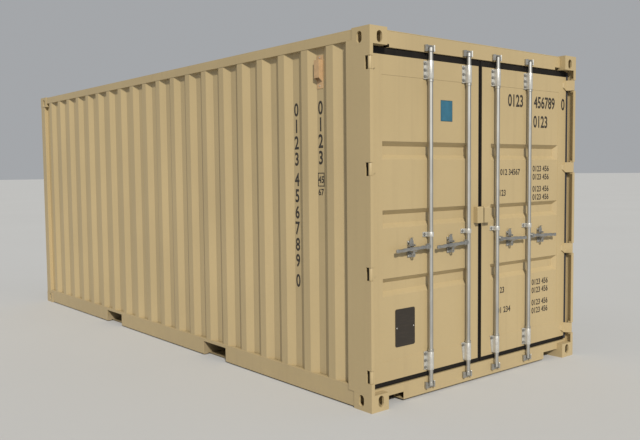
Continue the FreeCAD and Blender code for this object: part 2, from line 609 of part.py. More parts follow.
def catch(name):
    """Flip-over catch, standing against the door above the handle."""
    pivot, side = handle_point(name)
    u = pivot + side * HOLD_AT
    q, top = CATCH_Q + EYE_PIN_R, CATCH_Z + CATCH_H
    half = [(LEAF_HALF, CATCH_Z), (LEAF_HALF - 4, CATCH_Z + LEAF_WAIST), (LEAF_TIP, top)]
    outline = half + [(-a, z) for a, z in reversed(half)]
    leaf = prism([at_end(u + a, q, z) for a, z in outline], V(0, LEAF_T, 0))
    barrel = rod(at_end(u - LEAF_HALF, CATCH_Q, CATCH_Z), BARREL_R, V(2 * LEAF_HALF, 0, 0))
    pin = rod(at_end(u - HOLDER_HALF + 1, CATCH_Q, CATCH_Z), EYE_PIN_R,
              V(2 * HOLDER_HALF - 2, 0, 0))
    lip = end_box(u - LEAF_TIP, u + LEAF_TIP, CATCH_Q - LIP_OUT, q + 1, top - LEAF_T, top)
    return join([leaf, barrel, pin, lip])


def locking_bar(name):
    """Round bar with a cam at each end and the clevis that carries its handle."""
    u = BAR_U[name]
    pivot, side = handle_point(name)
    parts = [rod(at_end(u, BAR_Q, BAR_Z0), BAR_R, V(0, 0, BAR_Z1 - BAR_Z0))]
    for z in (BAR_Z0, BAR_Z1 - CAM_H):
        lobe = rod(at_end(u, BAR_Q, z), CAM_R, V(0, 0, CAM_H))
        keep = plan([(u, BAR_Q), (u + side * LOBE_OUT, BAR_Q),
                     (u + side * LOBE_OUT, BAR_Q - LOBE_OUT), (u, BAR_Q - LOBE_OUT)],
                    z - 1, z + CAM_H + 1)
        parts.append(lobe.common(keep))
    a, b = sorted((u, pivot + side * CLEVIS_END))
    back = HANDLE_Q + HANDLE_T + 1
    lug = end_box(a, b, back, back + CLEVIS_T, HANDLE_Z - CLEVIS_H / 2, HANDLE_Z + CLEVIS_H / 2)
    parts.append(lug.cut(rod(at_end(pivot, back - 1, HANDLE_Z), BOLT_R + PIN_GAP,
                             V(0, CLEVIS_T + 2, 0))))
    for z in (BEARING_Z["top"][0] - COLLAR_H - MOVE_GAP, BEARING_Z["low"][1] + MOVE_GAP):
        parts.append(rod(at_end(u, BAR_Q, z), COLLAR_R, V(0, 0, COLLAR_H)))
    return join(parts)


def handle(name):
    """Flat lever on a bolt through the clevis; the bolt turns with the lever."""
    pivot, side = handle_point(name)
    q0, t, half = HANDLE_Q, HANDLE_T, HANDLE_TALL / 2
    end, cut = pivot + side * HANDLE_LEN, HANDLE_T / 2
    z0, z1 = HANDLE_Z, HANDLE_Z - HANDLE_DROP
    pts = [at_end(pivot, q0, z0 - half), at_end(end - side * cut, q0, z1 - half),
           at_end(end, q0, z1 - half + cut), at_end(end, q0, z1 + half - cut),
           at_end(end - side * cut, q0, z1 + half), at_end(pivot, q0, z0 + half)]
    lever = prism(pts, V(0, t, 0))
    eye = rod(at_end(pivot, q0, z0), EYE_R, V(0, t, 0))
    head = rod(at_end(pivot, q0 - HEAD_H, z0), NUT_R, V(0, HEAD_H + 1, 0))
    behind = q0 + t + 1 + CLEVIS_T + 1
    bolt = rod(at_end(pivot, q0, z0), BOLT_R, V(0, behind + NUT_H - q0, 0))
    nut = rod(at_end(pivot, behind, z0), NUT_R, V(0, NUT_H, 0))
    return join([lever, eye, head, bolt, nut])


def keeper(u, top):
    """Two tapered ears either side of a cam, on a strip beyond the bar's end."""
    mouth = CAM_R + MOVE_GAP + 1
    z0, z1 = (BAR_Z1 - CAM_H, BAR_Z1) if top else (BAR_Z0, BAR_Z0 + CAM_H)
    strip = ((BAR_Z1 + KEEPER_PAD, BAR_Z1 + KEEPER_PAD + KEEPER_STRIP) if top else
             (BAR_Z0 - KEEPER_PAD - KEEPER_STRIP, BAR_Z0 - KEEPER_PAD))
    pieces = [end_box(u - mouth - EAR_T, u + mouth + EAR_T, END_Q - KEEPER_D, END_Q, *strip)]
    for s in (-1, 1):
        base = u + s * mouth
        pts = [(base, END_Q), (base, EAR_Q + EAR_TIP), (base + s * EAR_TIP, EAR_Q),
               (base + s * EAR_T, END_Q - KEEPER_D), (base + s * EAR_T, END_Q)]
        pieces.append(plan(pts, min(z0, strip[0]), max(z1, strip[1])))
    return join(pieces)


def cam_keepers():
    """Keepers for every bar, on the header and on the sill."""
    return Part.makeCompound([keeper(u, top) for u in BAR_U.values() for top in (True, False)])


def lock_box():
    """Left half of the cover over the padlock point, open below."""
    seam, q0, t = HALF_W - SEAM_GAP / 2, DOOR_Q - BOX_OUT, BOX_T
    u0 = HALF_W - BOX_HALF
    outline = [(q0, BOX_Z0), (DOOR_Q, BOX_Z0), (DOOR_Q, BOX_Z1), (q0 + 2 * t, BOX_Z1),
               (q0, BOX_Z1 - 2 * t)]
    body = prism([at_end(u0, q, z) for q, z in outline], V(seam - u0, 0, 0))
    return body.cut(end_box(u0 + t, seam + 1, q0 + t, DOOR_Q + 1, BOX_Z0 - 1, BOX_Z1 - 3 * t))


def data_plate():
    """Blank plate on the left door."""
    q = DOOR_Q + PANEL_BACK
    body = end_box(PLATE_U - PLATE_W / 2, PLATE_U + PLATE_W / 2, q - PLATE_T, q,
                   PLATE_Z - PLATE_H / 2, PLATE_Z + PLATE_H / 2)
    edges = [e for e in body.Edges if abs(e.BoundBox.YLength - PLATE_T) < 0.01]
    return body.makeFillet(PLATE_CORNER, edges)


def vents():
    """One hooded vent in the first rib recess of each side, near the door end."""
    mid = (DOOR_POST_Q + LENGTH - FRONT_POST_Q) / 2 - RIB_PITCH * (RIB_COUNT / 2 - 1)
    wall = WALL_P + WALL_DEEP - WALL_T
    plate = end_box(wall - VENT_T, wall, mid - VENT_W / 2, mid + VENT_W / 2, VENT_Z0, VENT_Z1)
    start = mid - HOOD_W / 2
    outline = [(wall, HOOD_Z0), (wall, HOOD_Z1), (HOOD_P, HOOD_Z1), (HOOD_P, HOOD_Z0 + HOOD_LIP)]
    hood = prism([at_end(p, start, z) for p, z in outline], V(0, HOOD_W, 0))
    inside = end_box(HOOD_P + VENT_T, wall - VENT_T, start + VENT_T, start + HOOD_W - VENT_T,
                     HOOD_Z0 - 1, HOOD_Z1 - VENT_T)
    body = join([plate, hood]).cut(inside)
    return Part.makeCompound([body, mirror_x(body)])


# ================================================================ build
def main():
    export(fittings(False), "fittings_bottom")
    export(fittings(True), "fittings_top")
    for make, name in ((door_post, "post_door"), (front_post, "post_front"),
                       (top_rail, "top_rail"), (bottom_rail, "bottom_rail"),
                       (side_wall, "side_wall"), (door_frame, "door_frame"),
                       (door_panel, "door_panel"), (door_seal, "door_seal"),
                       (lock_box, "lock_box")):
        piece = make()
        export(piece, name + "_left")
        export(mirror_x(piece), name + "_right")
    for make in (door_header, door_sill, front_header, front_sill, front_wall, roof_panel,
                 floor_boards, cross_members, fork_pockets, vents, cam_keepers, data_plate):
        export(make(), make.__name__)
    for side, bars in (("left", "12"), ("right", "34")):
        export(bar_brackets(bars), "bar_brackets_" + side)
        export(retainers(bars), "handle_retainers_" + side)
    for name in BAR_U:
        export(locking_bar(name), "locking_bar_" + name)
        export(handle(name), "handle_" + name)
        export(catch(name), "catch_" + name)


main()
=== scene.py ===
"""Finishes a 20 ft steel freight container: paint, galvanised gear, rubber, floor and trim.

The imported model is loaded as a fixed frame.  Every piece added here is in metres, in the
same frame: X across the doors, Y along the length away from the doors, Z up.
"""
import json
import math

import bpy
import bmesh
from bpy.props import FloatProperty, FloatVectorProperty, PointerProperty
from mathutils import Matrix, Vector


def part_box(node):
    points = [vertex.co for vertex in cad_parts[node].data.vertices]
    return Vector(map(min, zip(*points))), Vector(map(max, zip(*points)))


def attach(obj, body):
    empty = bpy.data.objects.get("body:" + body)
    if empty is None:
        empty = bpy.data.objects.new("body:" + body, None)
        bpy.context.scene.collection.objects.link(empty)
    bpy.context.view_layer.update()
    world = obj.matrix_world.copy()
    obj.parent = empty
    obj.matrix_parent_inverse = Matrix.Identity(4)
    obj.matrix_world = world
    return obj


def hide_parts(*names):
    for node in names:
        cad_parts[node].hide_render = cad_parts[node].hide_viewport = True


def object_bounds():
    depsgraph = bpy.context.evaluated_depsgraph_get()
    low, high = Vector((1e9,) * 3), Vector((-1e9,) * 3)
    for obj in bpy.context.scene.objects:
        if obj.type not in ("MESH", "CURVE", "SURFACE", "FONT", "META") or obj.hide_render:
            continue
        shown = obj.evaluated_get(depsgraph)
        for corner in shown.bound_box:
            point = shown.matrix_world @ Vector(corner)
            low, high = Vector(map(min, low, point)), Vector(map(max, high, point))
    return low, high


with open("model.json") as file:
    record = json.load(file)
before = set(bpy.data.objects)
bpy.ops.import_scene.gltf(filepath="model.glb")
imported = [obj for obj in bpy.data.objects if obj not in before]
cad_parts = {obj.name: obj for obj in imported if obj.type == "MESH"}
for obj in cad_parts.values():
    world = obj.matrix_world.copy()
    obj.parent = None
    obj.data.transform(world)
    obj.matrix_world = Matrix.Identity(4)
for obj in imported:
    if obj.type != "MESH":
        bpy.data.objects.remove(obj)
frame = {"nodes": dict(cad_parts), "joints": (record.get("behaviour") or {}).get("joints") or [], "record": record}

bl_info = {
    "name": "Freight container finish",
    "version": (1, 0, 0),
    "blender": (4, 5, 0),
    "location": "View3D > Sidebar > Container",
    "description": "Paints a freight container and adds its bolts, handles, marks and seal lips",
    "category": "Object",
}

CAD_BOX = [list(corner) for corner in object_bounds()]
NODES = frame["nodes"]
JOINTS = {joint["name"]: joint for joint in frame["joints"]}
RIGHT = CAD_BOX[1][0]
BARS = {name: Vector(JOINTS["bar_%s_turn" % name]["pos_m"]) for name in "1234"}
DOOR_OF = {"1": "door_left", "2": "door_left", "3": "door_right", "4": "door_right"}
SEAL_BACK = 0.003                           # the seals, behind the doors' faces
DOOR_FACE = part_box("door_seal_left")[0][1] - SEAL_BACK
FACING_DOOR = Matrix(((1, 0, 0), (0, 0, -1), (0, 1, 0)))
FACING_LEFT = Matrix(((0, 0, -1), (-1, 0, 0), (0, 1, 0)))
FACING_RIGHT = Matrix(((0, 0, 1), (1, 0, 0), (0, 1, 0)))


# ---------------------------------------------------------------- set places, in metres
FOOT_T = 0.006                              # bearing feet, proud of the door's face
PANEL_BACK = 0.002                          # door sheet, behind the door's face
WALL_IN, RECESS = 0.009, 0.0324             # side wall's crests, and its recesses behind them
RIB_PITCH, RIBS_TO_FIRST = 0.281, 9
VENT_PLATE_IN = 0.0324                      # vent plate's face, behind the hood's
TOP_BOLTS = (2.301, 2.346, 2.392)
LOW_BOLTS = (0.206, 0.255, 0.304)
GUIDE_BOLT = (-0.041, 1.177)                # from the bar's axis, and up
WASHER, WASHER_WIDE = 0.25, 1.35            # shares of a bolt's head height and radius
CHAMFER_IN, CHAMFER_UP = 0.16, 0.15         # likewise
RIVET_RIM = 0.3                             # shares of a rivet's radius: rim, then two rings
RIVET_DOME = ((0.25, 0.18), (0.35, 0.08))   # that step in and up
RETAINER_ACROSS, RETAINER_UP = (-0.021, 0.021), (1.034, 1.133)
PLATE_INSET = 0.014
VENT_SCREW_UP, VENT_SCREW_DOWN = 0.020, 0.015   # from the vent's foot and from its top
COUNT_DOWN = "01234567890"
COLUMN_Z = (2.095, 1.973, 1.851, 1.729, 1.577, 1.455, 1.333, 1.211, 1.089, 0.967, 0.815)
SHORT_COLUMN_Z = (2.092, 1.973, 1.854, 1.735)
BOX_MARK_Z, UNDER_MARK_Z = 1.577, 1.487
BOX_MARK, BOX_LINE = (0.072, 0.100), 0.007  # the outline's size and its line's width
BOX_NARROW, ROW_NARROW, ONE_NARROW = 0.62, 0.58, 0.8    # widths as shares of the height
STROKE = 0.024                              # thickens the figures' strokes
FILM = 0.01                                 # flattens that thickening across the face
DOOR_ROWS = (                               # figures, size, centre across, centre up
    ("0123", "L", 0.450, 2.186), ("456789", "L", 0.850, 2.186), ("0123", "L", 0.794, 2.027),
    ("012 34567", "S", 0.385, 1.615), ("0123 456", "S", 0.806, 1.640),
    ("0123 456", "S", 0.806, 1.572), ("0123", "S", 0.268, 1.450),
    ("0123 456", "S", 0.806, 1.472), ("0123 456", "S", 0.806, 1.404),
    ("0123", "S", 0.255, 0.672), ("0123 456", "S", 0.806, 0.690),
    ("0123 456", "S", 0.806, 0.622), ("01 234", "S", 0.310, 0.510),
    ("0123 456", "S", 0.806, 0.518), ("0123 456", "S", 0.806, 0.450))
DOOR_LAST = (1.120, 2.186)
LABEL_AT, LABEL_SIZE = (-0.388, 2.068), (0.130, 0.153)
LABEL_EDGE, LABEL_CORNER = 0.004, 0.008
LIP_ACROSS = (RIGHT - 0.0545, RIGHT - 0.034)  # from the seal's edge to the curl
LIP_BACK, LIP_THICK, LIP_CURL, LIP_SHORT = 0.0035, 0.003, 0.005, 0.004
HANDLE_FALL = 12.0 / 334.0
HANDLE_SECTIONS = (                         # along, height, thickness
    (0.012, 0.028, 0.011), (0.034, 0.021, 0.013), (0.062, 0.028, 0.011),
    (0.088, 0.021, 0.013), (0.112, 0.028, 0.011), (0.147, 0.025, 0.011),
    (0.182, 0.028, 0.011), (0.215, 0.021, 0.013), (0.250, 0.027, 0.011),
    (0.285, 0.021, 0.012), (0.318, 0.027, 0.011), (0.331, 0.022, 0.009))
HANDLE_STATIONS = tuple((*section, -section[0] * HANDLE_FALL) for section in HANDLE_SECTIONS)
HANDLE_ROOT, HANDLE_WORN = 0.010, 0.0025
HANDLE_TWISTS = (                           # radians about the lever, at this far along
    (0.5, 0.062), (-0.5, 0.112), (0.45, 0.215), (-0.45, 0.285))
BOSS_RADIUS, BOSS_DEPTH, BOSS_RIM = 0.018, 0.012, 0.002
BOSS_BOLT = (                               # radius, depth, middle, sides: head, shank, nut
    (0.011, 0.005, -0.0082, 6), (0.007, 0.026, 0.012, 16), (0.011, 0.006, 0.0235, 6))
WELD = 0.00005                              # joins a CAD node's loose triangles
FINE_EDGE = 0.4                             # small gear's share of the edge radius
SHARP_EDGE, SMOOTH_BELOW = math.radians(35.0), math.radians(40.0)
SQUARE_ON = 0.9                             # how far a normal points along an axis, at least
AT_STATION = 0.002                          # a point this near a section belongs to it
SOFTENED = ("fittings_bottom", "fittings_top", "post_door_left", "post_door_right",
            "post_front_left", "post_front_right", "door_header", "door_sill",
            "bottom_rail_left", "bottom_rail_right", "top_rail_left", "top_rail_right",
            "front_header", "door_frame_left", "door_frame_right", "lock_box_left",
            "lock_box_right")
FINE_GEAR = ("cam_keepers", "bar_brackets_left", "bar_brackets_right",
             "handle_retainers_left", "handle_retainers_right", "vents",
             "catch_1", "catch_2", "catch_3", "catch_4")


# ---------------------------------------------------------------- set colours and light
STREAK, DUST, RUST = (0.20, 0.145, 0.085), (0.30, 0.235, 0.155), (0.115, 0.045, 0.018)
ZINC_STAIN, BAR_STAIN = (0.17, 0.15, 0.125), (0.20, 0.17, 0.13)
RUBBER_BLOOM = (0.030, 0.023, 0.016)
WOOD_DARK, WOOD_LIGHT = (0.16, 0.070, 0.028), (0.36, 0.175, 0.075)
WOOD_SEAM, WOOD_SCUFF = (0.020, 0.012, 0.008), (0.30, 0.22, 0.15)
HALF_BOARD = 0.61                           # half a floor board's length, in metres
PLATE_DARK, PLATE_SCRATCH = (0.036, 0.029, 0.022), (0.085, 0.070, 0.055)
STUDIO_DARK, STUDIO_LIGHT = (0.50, 0.50, 0.49), (0.53, 0.53, 0.52)
SKY_COLOUR, SUN_COLOUR = (0.93, 0.96, 1.0, 1.0), (1.0, 0.97, 0.92)
SUN_FROM, SUN_SPREAD = (-0.55, -1.0, 0.72), math.radians(5.0)
FLOOR_SIZE, SENSOR, FAR = 400.0, 36.0, 1000.0   # metres, millimetres, metres


# ---------------------------------------------------------------- settings
class PaintSettings(bpy.types.PropertyGroup):
    """Colours of the container's coatings."""
    shell: FloatVectorProperty(
        name="Shell paint", description="Main colour of the painted steel",
        default=(0.402, 0.308, 0.160), subtype="COLOR", size=3, min=0.0, max=1.0)
    mark: FloatVectorProperty(
        name="Stencil paint", description="Colour of the stencilled figures",
        default=(0.022, 0.017, 0.012), subtype="COLOR", size=3, min=0.0, max=1.0)
    zinc: FloatVectorProperty(
        name="Zinc", description="Colour of the galvanised gear",
        default=(0.60, 0.59, 0.55), subtype="COLOR", size=3, min=0.0, max=1.0)
    rubber: FloatVectorProperty(
        name="Rubber", description="Colour of the door seals",
        default=(0.0065, 0.0050, 0.0036), subtype="COLOR", size=3, min=0.0, max=1.0)
    vent: FloatVectorProperty(
        name="Vent plastic", description="Colour of the moulded vents",
        default=(0.455, 0.295, 0.150), subtype="COLOR", size=3, min=0.0, max=1.0)
    badge: FloatVectorProperty(
        name="Label blue", description="Colour of the plain label on the left door",
        default=(0.022, 0.100, 0.150), subtype="COLOR", size=3, min=0.0, max=1.0)
    dirt: FloatProperty(
        name="Dirt", description="How much dust and rain streaking the paint carries",
        default=0.35, subtype="FACTOR", min=0.0, max=1.0)


class GearSettings(bpy.types.PropertyGroup):
    """Sizes of the small fittings."""
    bolt: FloatProperty(
        name="Bolt head", description="Radius of the bearing bolts' heads",
        default=0.009, unit="LENGTH", min=0.002)
    head: FloatProperty(
        name="Head height", description="How far a bolt head stands out",
        default=0.006, unit="LENGTH", min=0.001)
    rivet: FloatProperty(
        name="Rivet", description="Radius of the domed rivets",
        default=0.005, unit="LENGTH", min=0.001)
    bolt_out: FloatProperty(
        name="Bolt place", description="Bearing bolts' distance from the bar's axis",
        default=0.034, unit="LENGTH", min=0.0)
    edge: FloatProperty(
        name="Edge radius", description="Rounding of the steel's edges",
        default=0.0025, unit="LENGTH", min=0.0)


class MarkSettings(bpy.types.PropertyGroup):
    """Sizes of the stencilled counting figures."""
    tall: FloatProperty(
        name="Large figure", description="Height of the large figures",
        default=0.100, unit="LENGTH", min=0.01)
    small: FloatProperty(
        name="Small figure", description="Height of the small figures",
        default=0.050, unit="LENGTH", min=0.01)
    narrow: FloatProperty(
        name="Narrowness", description="Width of a figure as a share of its height",
        default=0.50, subtype="FACTOR", min=0.1, max=1.0)
    proud: FloatProperty(
        name="Film thickness", description="How far paint and labels stand off the steel",
        default=0.0004, unit="LENGTH", min=0.0)


class StageSettings(bpy.types.PropertyGroup):
    """Camera and light."""
    eye: FloatVectorProperty(
        name="Camera place", description="Where the camera stands",
        default=(-4.6472, -6.6330, 1.6434), subtype="XYZ", unit="LENGTH", size=3)
    heading: FloatProperty(
        name="Heading", description="Camera's turn from straight along the length",
        default=0.6928, subtype="ANGLE", unit="ROTATION")
    tilt: FloatProperty(
        name="Tilt", description="Camera's tilt above the horizontal",
        default=-0.0660, subtype="ANGLE", unit="ROTATION")
    roll: FloatProperty(
        name="Roll", description="Camera's roll about its view",
        default=-0.0104, subtype="ANGLE", unit="ROTATION")
    lens: FloatProperty(
        name="Lens", description="Focal length on a 36 mm wide frame, in millimetres",
        default=42.22, min=1.0)
    sun: FloatProperty(
        name="Key light", description="Strength of the soft key light",
        default=3.8, min=0.0)
    sky: FloatProperty(
        name="Room light", description="Strength of the even light from all round",
        default=0.40, min=0.0)


# ---------------------------------------------------------------- material maths
class Wire:
    """One output socket, with Python's arithmetic adding Math nodes."""

    def __init__(self, finish, socket):
        self.finish = finish
        self.socket = socket

    def _maths(self, operation, *values, **settings):
        return self.finish.node("ShaderNodeMath", dict(operation=operation, **settings),
                                *values)

    def __add__(self, other):
        return self._maths("ADD", self, other)

    __radd__ = __add__

    def __sub__(self, other):
        return self._maths("SUBTRACT", self, other)

    def __rsub__(self, other):
        return self._maths("SUBTRACT", other, self)

    def __mul__(self, other):
        return self._maths("MULTIPLY", self, other)

    __rmul__ = __mul__

    def __truediv__(self, other):
        return self._maths("DIVIDE", self, other)

    def clamped(self):
        """Held between 0 and 1."""
        return self._maths("ADD", self, 0.0, use_clamp=True)

    def between(self, low, high):
        """0 at low, 1 at high, straight in between."""
        return ((self - low) / (high - low)).clamped()


class Finish:
    """Builds one procedural material."""
    UNUSED_MIX = (None,) * 5                # the Mix node's sockets before its colours

    def __init__(self, name):
        self.material = bpy.data.materials.new(name)
        self.material.use_nodes = True
        self.tree = self.material.node_tree
        self.shader = self.tree.nodes["Principled BSDF"]
        self.coords = None

    def node(self, kind, settings, *values, out=0, **named):
        """Adds a node, sets it up, fills its sockets and returns one output."""
        made = self.tree.nodes.new(kind)
        for key, value in settings.items():
            setattr(made, key, value)
        for socket, value in list(zip(made.inputs, values)):
            self._fill(socket, value)
        for key, value in named.items():
            self._fill(made.inputs[key.replace("_", " ")], value)
        return Wire(self, made.outputs[out])

    def _fill(self, socket, value):
        if value is None:
            return
        if isinstance(value, Wire):
            self.tree.links.new(value.socket, socket)
        else:
            if hasattr(value, "__len__") and len(value) == 3 and socket.type == "RGBA":
                value = (*value, 1.0)
            socket.default_value = value

    def place(self, scale=(1.0, 1.0, 1.0), shift=(0.0, 0.0, 0.0)):
        """Object coordinates, scaled and then shifted."""
        if self.coords is None:
            self.coords = self.node("ShaderNodeTexCoord", {}, out=3)
        return self.node("ShaderNodeMapping", {}, Vector=self.coords, Location=shift,
                         Scale=scale)

    def noise(self, size, detail=3.0, rough=0.55, stretch=(1.0, 1.0, 1.0), shift=(0, 0, 0)):
        """Smooth noise whose blotches are about size metres across."""
        scale = tuple(1.0 / (size * s) for s in stretch)
        return self.node("ShaderNodeTexNoise", {}, Vector=self.place(scale, shift=shift),
                         Scale=1.0, Detail=detail, Roughness=rough)

    def height(self, axis):
        """One object coordinate in metres, as a value."""
        return self.node("ShaderNodeSeparateXYZ", {}, self.place(), out="XYZ".index(axis))

    def blend(self, amount, first, second):
        """The first colour where amount is 0, the second where it is 1."""
        return self.node("ShaderNodeMix", {"data_type": "RGBA"}, amount, *self.UNUSED_MIX,
                         first, second, out=2)

    def bump(self, height, distance, strength=1.0, under=None):
        """A normal raised by height, over the normal under it."""
        return self.node("ShaderNodeBump", {}, Height=height, Distance=distance,
                         Strength=strength, Normal=under)

    def set(self, **sockets):
        """Fills the shader's sockets and returns the finished material."""
        for key, value in sockets.items():
            self._fill(self.shader.inputs[key.replace("_", " ")], value)
        return self.material


def tone(colour, factor):
    """A colour made lighter or darker."""
    return tuple(min(1.0, c * factor) for c in colour)


# ---------------------------------------------------------------- finishes
def shell_paint(settings, name="shell_paint", dark=1.0, dirt=None):
    """Factory paint on steel sheet: slight fading, rain streaks, dust low down."""
    f = Finish(name)
    base = tone(settings.shell, dark)
    dirt = settings.dirt if dirt is None else dirt
    fade = f.noise(1.1, detail=2.0)
    colour = f.blend(fade.between(0.35, 0.65), tone(base, 0.955), tone(base, 1.035))
    mottle = f.noise(0.035, detail=4.0)
    colour = f.blend(mottle.between(0.45, 0.75) * 0.12, colour, tone(base, 0.86))
    streaks = f.noise(0.05, detail=4.0, stretch=(1.0, 1.0, 26.0))
    run = streaks.between(0.54, 0.78) * (0.30 * dirt)
    colour = f.blend(run, colour, STREAK)
    low = 1.0 - f.height("Z").between(0.0, 0.55)
    speckle = f.noise(0.09, detail=5.0, rough=0.7).between(0.42, 0.72)
    dust = (low * low) * speckle * (0.75 * dirt)
    colour = f.blend(dust, colour, DUST)
    chips = f.noise(0.012, detail=2.0, shift=(3.1, 1.7, 0.4)).between(0.735, 0.76)
    patch = f.noise(0.35, detail=2.0, shift=(7.0, 2.0, 5.0)).between(0.60, 0.72)
    rust = chips * patch * (0.4 + low)
    colour = f.blend(rust.clamped(), colour, RUST)
    rough = 0.42 + fade * 0.08 + dust * 0.4 + run * 0.3
    waves = f.noise(0.55, detail=1.0, shift=(1.0, 9.0, 2.0))
    normal = f.bump(waves, 0.0035, 0.35)
    peel = f.noise(0.0035, detail=1.0)
    normal = f.bump(peel, 0.0002, 0.25, normal)
    return f.set(Base_Color=colour, Roughness=rough, Normal=normal)


def zinc(settings, name="galvanised_zinc", dark=1.0, metal=0.60):
    """Hot-dip galvanising: faint spangle, dull patches."""
    f = Finish(name)
    base = tone(settings.zinc, dark)
    cells = f.node("ShaderNodeTexVoronoi", {"feature": "F1"}, Vector=f.place(), Scale=140.0,
                   out=1)
    grain = f.node("ShaderNodeSeparateColor", {}, cells)
    cloud = f.noise(0.05, detail=4.0)
    colour = f.blend(grain * 0.5 + cloud.between(0.3, 0.7) * 0.5, tone(base, 0.80),
                     tone(base, 1.12))
    stain = f.noise(0.03, detail=5.0, shift=(4, 4, 4)).between(0.58, 0.75) * 0.30
    colour = f.blend(stain, colour, ZINC_STAIN)
    rough = 0.34 + grain * 0.10 + stain * 0.5
    fine = f.noise(0.004, detail=2.0)
    return f.set(Base_Color=colour, Roughness=rough, Metallic=metal,
                 Normal=f.bump(fine, 0.0003, 0.35))


def bar_zinc(settings):
    """Galvanised tube, smoother than the castings, with faint drawn lines."""
    f = Finish("bar_zinc")
    drawn = f.noise(0.006, detail=2.0, stretch=(1.0, 1.0, 40.0))
    cloud = f.noise(0.07, detail=3.0, stretch=(1.0, 1.0, 3.0))
    colour = f.blend(cloud.between(0.3, 0.7), tone(settings.zinc, 0.78), tone(settings.zinc, 0.94))
    stain = f.noise(0.05, detail=5.0, stretch=(1, 1, 5), shift=(6, 1, 2)).between(0.60, 0.76)
    colour = f.blend(stain * 0.25, colour, BAR_STAIN)
    return f.set(Base_Color=colour, Roughness=0.40 + cloud * 0.08 + stain * 0.10, Metallic=1.0,
                 Normal=f.bump(drawn, 0.0002, 0.25))


def seal_rubber(settings):
    """Black rubber with a dusty bloom."""
    f = Finish("seal_rubber")
    bloom = f.noise(0.08, detail=4.0, stretch=(1, 1, 3)).between(0.45, 0.8)
    colour = f.blend(bloom * 0.25, settings.rubber, RUBBER_BLOOM)
    return f.set(Base_Color=colour, Roughness=0.62 + bloom * 0.2, Specular_IOR_Level=0.22,
                 Normal=f.bump(f.noise(0.006), 0.0004, 0.3))


def floor_wood(settings):
    """Varnished plywood boards laid across the container."""
    f = Finish("floor_plywood")
    grain = f.noise(0.02, detail=6.0, stretch=(14.0, 1.0, 1.0))
    colour = f.blend(grain.between(0.3, 0.7), WOOD_DARK, WOOD_LIGHT)
    board = f.node("ShaderNodeMath", {"operation": "PINGPONG"}, f.height("Y"), HALF_BOARD)
    seam = 1.0 - board.between(0.0, 0.004)
    colour = f.blend(seam, colour, WOOD_SEAM)
    scuff = f.noise(0.25, detail=5.0, shift=(2, 8, 0)).between(0.5, 0.75) * 0.5
    colour = f.blend(scuff, colour, WOOD_SCUFF)
    return f.set(Base_Color=colour, Roughness=0.40 + scuff * 0.4,
                 Normal=f.bump(grain - seam * 2.0, 0.0006, 0.5))


def vent_plastic(settings):
    """Moulded plastic, sun-faded."""
    f = Finish("vent_plastic")
    fade = f.noise(0.06, detail=3.0)
    colour = f.blend(fade.between(0.35, 0.65), tone(settings.vent, 0.9),
                     tone(settings.vent, 1.1))
    return f.set(Base_Color=colour, Roughness=0.5 + fade * 0.1,
                 Normal=f.bump(f.noise(0.002, detail=1.0), 0.0002, 0.3))


def plate_dark(settings):
    """Dark anodised sheet with faint scratches."""
    f = Finish("dark_plate")
    scratch = f.noise(0.02, detail=4.0, stretch=(6.0, 1.0, 0.4)).between(0.55, 0.75)
    colour = f.blend(scratch * 0.4, PLATE_DARK, PLATE_SCRATCH)
    return f.set(Base_Color=colour, Roughness=0.42 + scratch * 0.2, Metallic=0.35,
                 Normal=f.bump(scratch, 0.0002, 0.3))


def stencil_paint(settings):
    """Brushed-on dark figures, thin in places."""
    f = Finish("stencil_paint")
    thin = f.noise(0.012, detail=4.0).between(0.55, 0.8)
    colour = f.blend(thin * 0.5, settings.mark, tone(settings.shell, 0.45))
    return f.set(Base_Color=colour, Roughness=0.6)


def label_blue(settings):
    """Plain blue film."""
    f = Finish("label_blue")
    fade = f.noise(0.05, detail=3.0).between(0.35, 0.7)
    colour = f.blend(fade * 0.3, settings.badge, tone(settings.badge, 1.9))
    return f.set(Base_Color=colour, Roughness=0.35)


# ---------------------------------------------------------------- modelling helpers
def select_none():
    """Leaves edit mode and deselects everything, so a new piece stands alone."""
    if bpy.context.object and bpy.context.object.mode != "OBJECT":
        bpy.ops.object.mode_set(mode="OBJECT")
    bpy.ops.object.select_all(action="DESELECT")


def select_only(*things):
    """Selects these objects and no others, and makes the first one active."""
    select_none()
    for thing in things:
        thing.select_set(True)
    bpy.context.view_layer.objects.active = things[0]


def settle(piece, name, body, material):
    """Puts a finished piece at the origin, names it, paints it and fixes it to its body."""
    select_only(piece)
    bpy.ops.object.transform_apply(location=True, rotation=True, scale=True)
    piece.name = piece.data.name = name
    piece.data.materials.clear()
    piece.data.materials.append(material)
    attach(piece, body)
    return piece


def finish_named(name):
    """A finish that the first operator has already made."""
    material = bpy.data.materials.get(name)
    if material is None:
        raise RuntimeError("the finishes come before the pieces: no " + name)
    return material


def coat(node, material):
    """Gives a CAD node its finish."""
    mesh = NODES[node].data
    mesh.materials.clear()
    mesh.materials.append(material)


def soften(node, width):
    """Rounds a CAD node's edges with live modifiers."""
    weld = NODES[node].modifiers.new("weld", "WELD")
    weld.merge_threshold = WELD
    bevel = NODES[node].modifiers.new("edge", "BEVEL")
    bevel.width = width
    bevel.segments = 2
    bevel.limit_method = "ANGLE"
    bevel.angle_limit = SHARP_EDGE
    bevel.use_clamp_overlap = True


def edit_faces(piece, chosen):
    """Opens a piece for editing with just the faces that pass the test selected."""
    select_only(piece)
    bpy.ops.object.mode_set(mode="EDIT")
    bpy.ops.mesh.select_mode(type="FACE")
    bpy.ops.mesh.select_all(action="DESELECT")
    mesh = bmesh.from_edit_mesh(piece.data)
    for face in mesh.faces:
        face.select_set(chosen(face.calc_center_median(), face.normal))
    bmesh.update_edit_mesh(piece.data)


